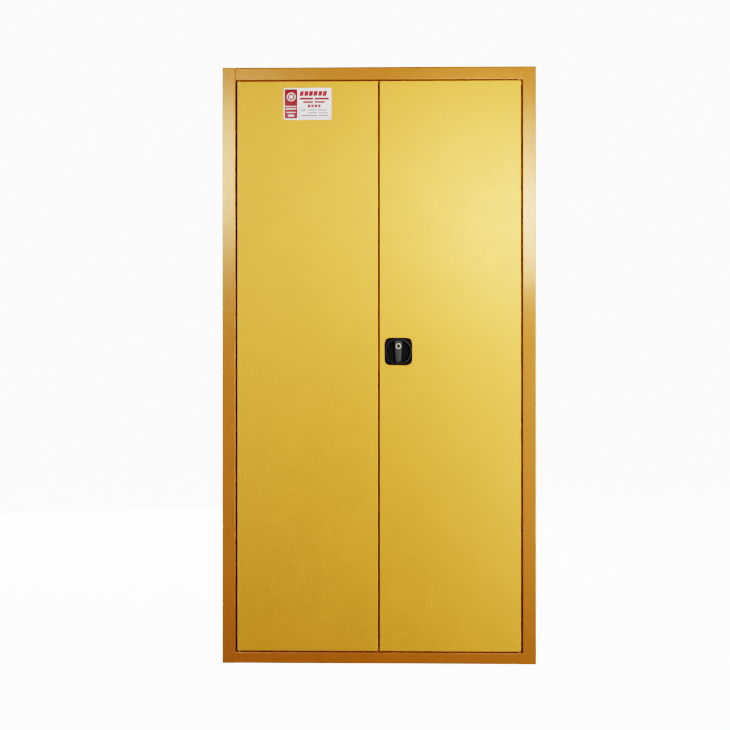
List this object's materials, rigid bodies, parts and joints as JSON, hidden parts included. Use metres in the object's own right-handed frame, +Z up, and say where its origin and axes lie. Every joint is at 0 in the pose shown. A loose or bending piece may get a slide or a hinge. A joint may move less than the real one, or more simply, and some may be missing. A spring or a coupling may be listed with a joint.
{
  "type": "safety equipment storage cabinet",
  "caption": "Tall two-door steel storage cabinet in yellow, with adjustable shelves, concealed pivot hinges and a recessed turn handle that drives lock rods.",
  "frame": {"origin": "middle of the bottom of the whole object", "axes": "+X right seen from the front, +Y to the back, +Z up"},
  "size_m": [1, 0.5074, 1.9],
  "materials": {
    "door_paint": "satin yellow powder coat with orange peel",
    "frame_paint": "semi-gloss darker yellow powder coat",
    "inner_paint": "satin yellow powder coat",
    "zinc_steel": "zinc plated",
    "black_plastic": "fine satin grain",
    "grey_plastic": "satin",
    "chrome": "polished",
    "white_nylon": "natural",
    "brass": "turned",
    "rubber": "moulded",
    "label_film": "printed film"
  },
  "bodies": {
    "cabinet": {"side_panel_left": "frame_paint", "side_panel_right": "frame_paint", "back_panel": "frame_paint", "top_panel": "frame_paint", "base_channel_left": "frame_paint", "base_channel_right": "frame_paint", "frame_stile_left": "frame_paint", "frame_stile_right": "frame_paint", "frame_rail_top": "frame_paint", "frame_rail_bottom": "frame_paint", "door_stop_top": "frame_paint", "floor_panel": "inner_paint", "shelf_upright_front_left": "inner_paint", "shelf_upright_front_right": "inner_paint", "shelf_upright_rear_left": "inner_paint", "shelf_upright_rear_right": "inner_paint", "shelf_1": "inner_paint", "shelf_2": "inner_paint", "shelf_3": "inner_paint", "shelf_4": "inner_paint", "shelf_bracket_left_1": "inner_paint", "shelf_bracket_left_2": "inner_paint", "shelf_bracket_left_3": "inner_paint", "shelf_bracket_left_4": "inner_paint", "shelf_bracket_right_1": "inner_paint", "shelf_bracket_right_2": "inner_paint", "shelf_bracket_right_3": "inner_paint", "shelf_bracket_right_4": "inner_paint", "hinge_pin_left_top": "zinc_steel", "hinge_pin_left_bottom": "zinc_steel", "hinge_pin_right_top": "zinc_steel", "hinge_pin_right_bottom": "zinc_steel", "door_buffer_left": "rubber", "door_buffer_right": "rubber"},
    "left_door": {"door_left_skin": "door_paint", "door_left_stiffener": "inner_paint", "door_left_lap_strip": "inner_paint", "hinge_bush_left_top": "brass", "hinge_bush_left_bottom": "brass", "bolt_guide_top": "white_nylon", "bolt_guide_bottom": "white_nylon", "label_plate": "label_film"},
    "right_door": {"door_right_skin": "door_paint", "door_right_stiffener": "inner_paint", "hinge_bush_right_top": "brass", "hinge_bush_right_bottom": "brass", "handle_housing": "black_plastic", "latch_case": "zinc_steel", "rod_guide_top": "white_nylon", "rod_guide_bottom": "white_nylon"},
    "handle": {"handle_lever": "grey_plastic", "handle_spindle": "zinc_steel", "latch_pinion": "zinc_steel", "centre_tongue": "zinc_steel", "lock_bezel": "chrome"},
    "key_lock": {"lock_cylinder": "chrome"},
    "top_lock_rod": {"lock_rod_top": "zinc_steel"},
    "bottom_lock_rod": {"lock_rod_bottom": "zinc_steel"},
    "top_door_bolt": {"door_bolt_top": "zinc_steel"},
    "bottom_door_bolt": {"door_bolt_bottom": "zinc_steel"}
  },
  "joints": [
    {"name": "left_door_hinge", "type": "hinge", "parent": "cabinet", "child": "left_door", "pos_m": [-0.4445, -0.24025, 0.04], "axis": [0, 0, -1], "range_deg": [0, 110]},
    {"name": "right_door_hinge", "type": "hinge", "parent": "cabinet", "child": "right_door", "pos_m": [0.4445, -0.24025, 0.04], "axis": [0, 0, 1], "range_deg": [0, 110]},
    {"name": "handle_turn", "type": "hinge", "parent": "right_door", "child": "handle", "pos_m": [0.0625, -0.24625, 0.994], "axis": [0, 1, 0], "range_deg": [0, 90]},
    {"name": "key_turn", "type": "hinge", "parent": "handle", "child": "key_lock", "pos_m": [0.0625, -0.24625, 1.011], "axis": [0, 1, 0], "range_deg": [0, 90]},
    {"name": "top_rod_slide", "type": "slide", "parent": "right_door", "child": "top_lock_rod", "axis": [0, 0, 1], "range_m": [0, 0.02003]},
    {"name": "bottom_rod_slide", "type": "slide", "parent": "right_door", "child": "bottom_lock_rod", "axis": [0, 0, -1], "range_m": [0, 0.02003]},
    {"name": "top_bolt_slide", "type": "slide", "parent": "left_door", "child": "top_door_bolt", "axis": [0, 0, 1], "range_m": [0, 0.016]},
    {"name": "bottom_bolt_slide", "type": "slide", "parent": "left_door", "child": "bottom_door_bolt", "axis": [0, 0, -1], "range_m": [0, 0.016]}
  ],
  "couplings": [
    {"joint": "top_rod_slide", "follows": "handle_turn", "m_per_rad": 0.01275},
    {"joint": "bottom_rod_slide", "follows": "handle_turn", "m_per_rad": 0.01275}
  ]
}
